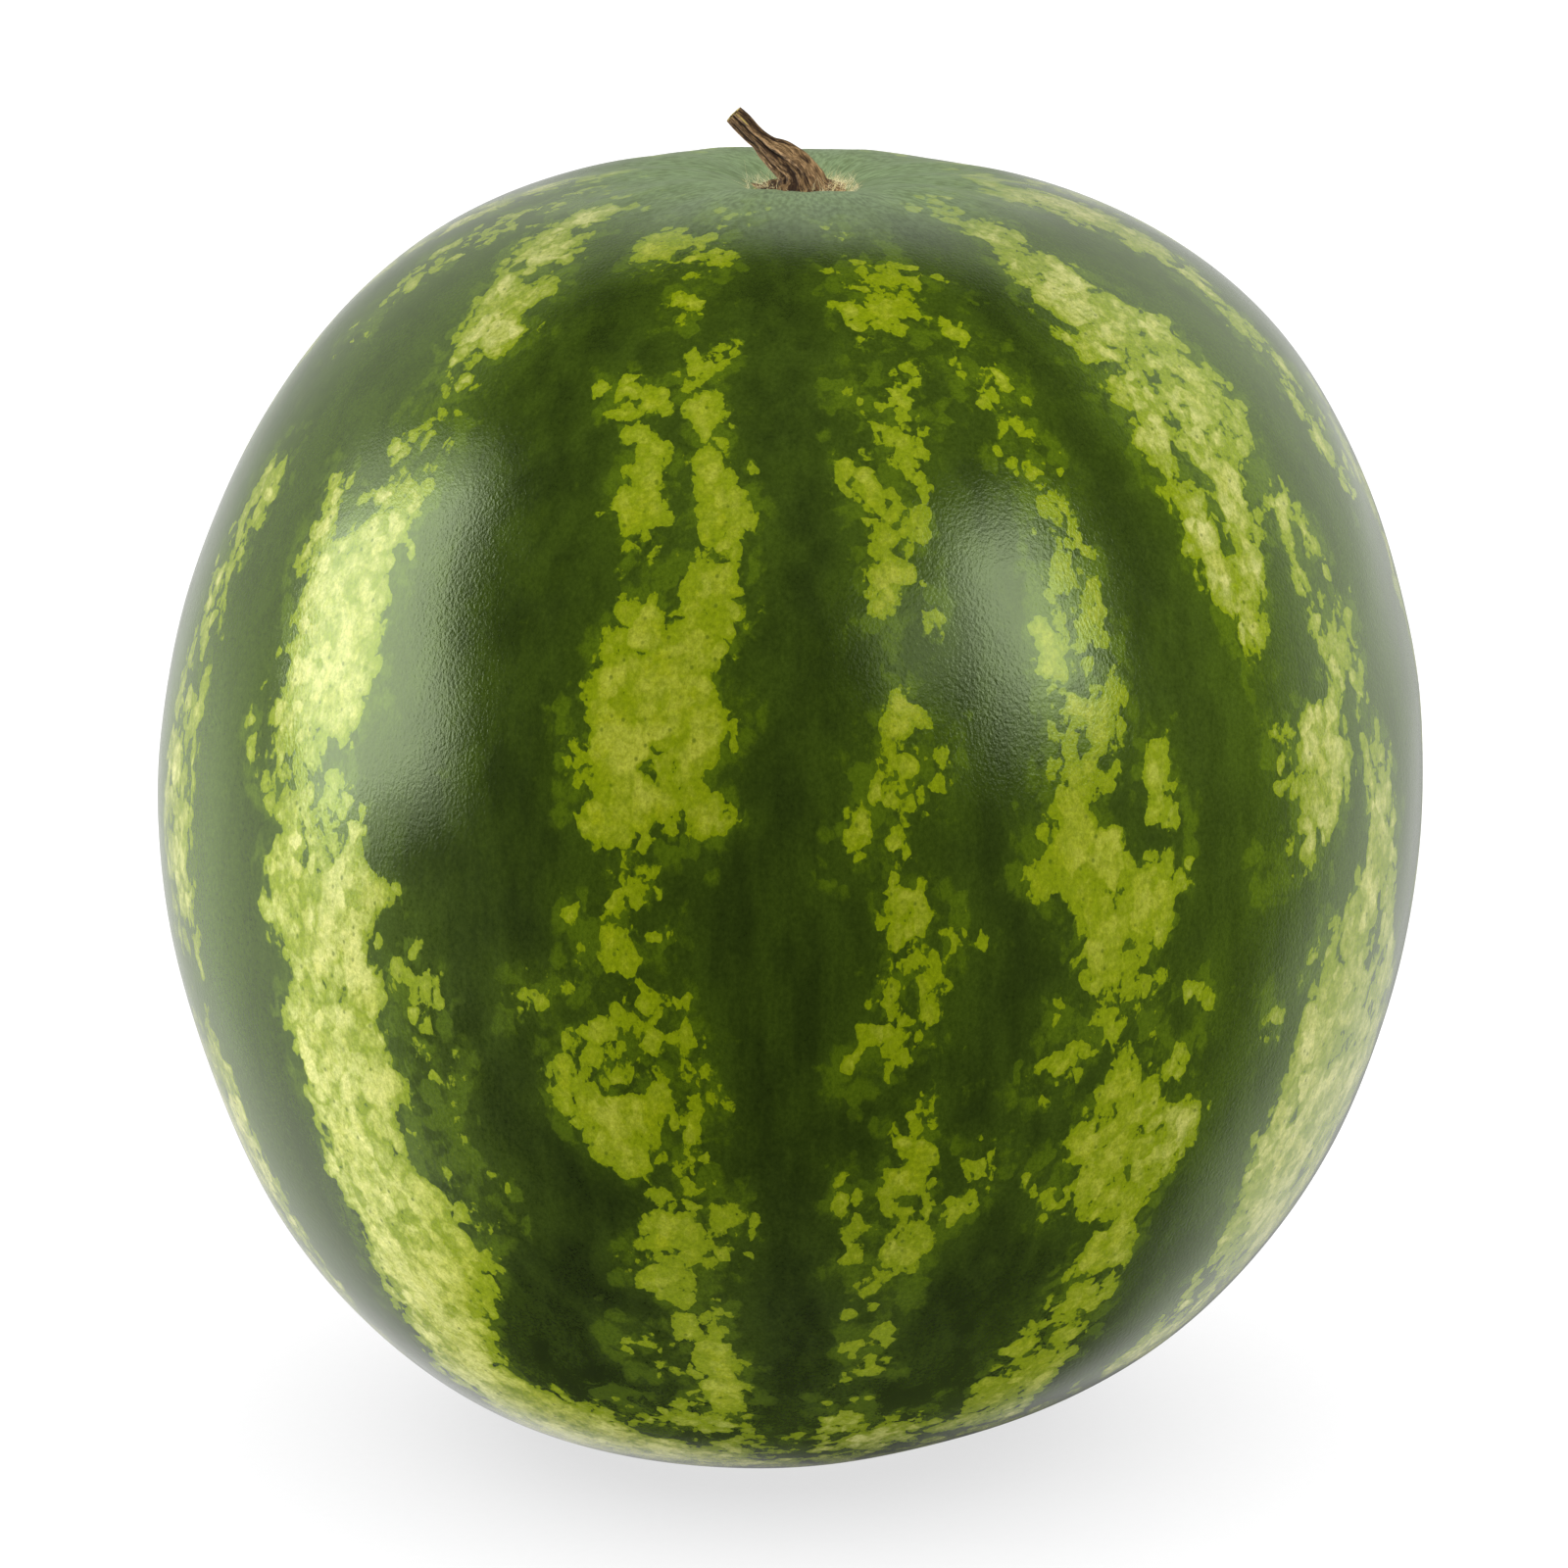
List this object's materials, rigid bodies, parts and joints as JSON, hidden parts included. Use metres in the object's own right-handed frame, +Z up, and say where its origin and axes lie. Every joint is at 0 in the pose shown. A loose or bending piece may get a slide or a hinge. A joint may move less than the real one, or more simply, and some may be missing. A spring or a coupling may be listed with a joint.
{
  "type": "watermelon",
  "caption": "Whole round watermelon with broken yellow-green stripes on dark green rind and a short dry stem in a shallow dimple; it stands on a small flat spot.",
  "frame": {"origin": "middle of the fruit's box in X and Y, on the plane of the flat spot that it rests on", "axes": "+Z up from the resting spot to the stem end; the stem leans to -X; +Y to the back"},
  "size_m": [0.2638, 0.2638, 0.284],
  "materials": {
    "rind": "satin",
    "stem": "matte"
  },
  "bodies": {
    "root": {"melon": "rind", "stem": "stem"}
  },
  "joints": []
}
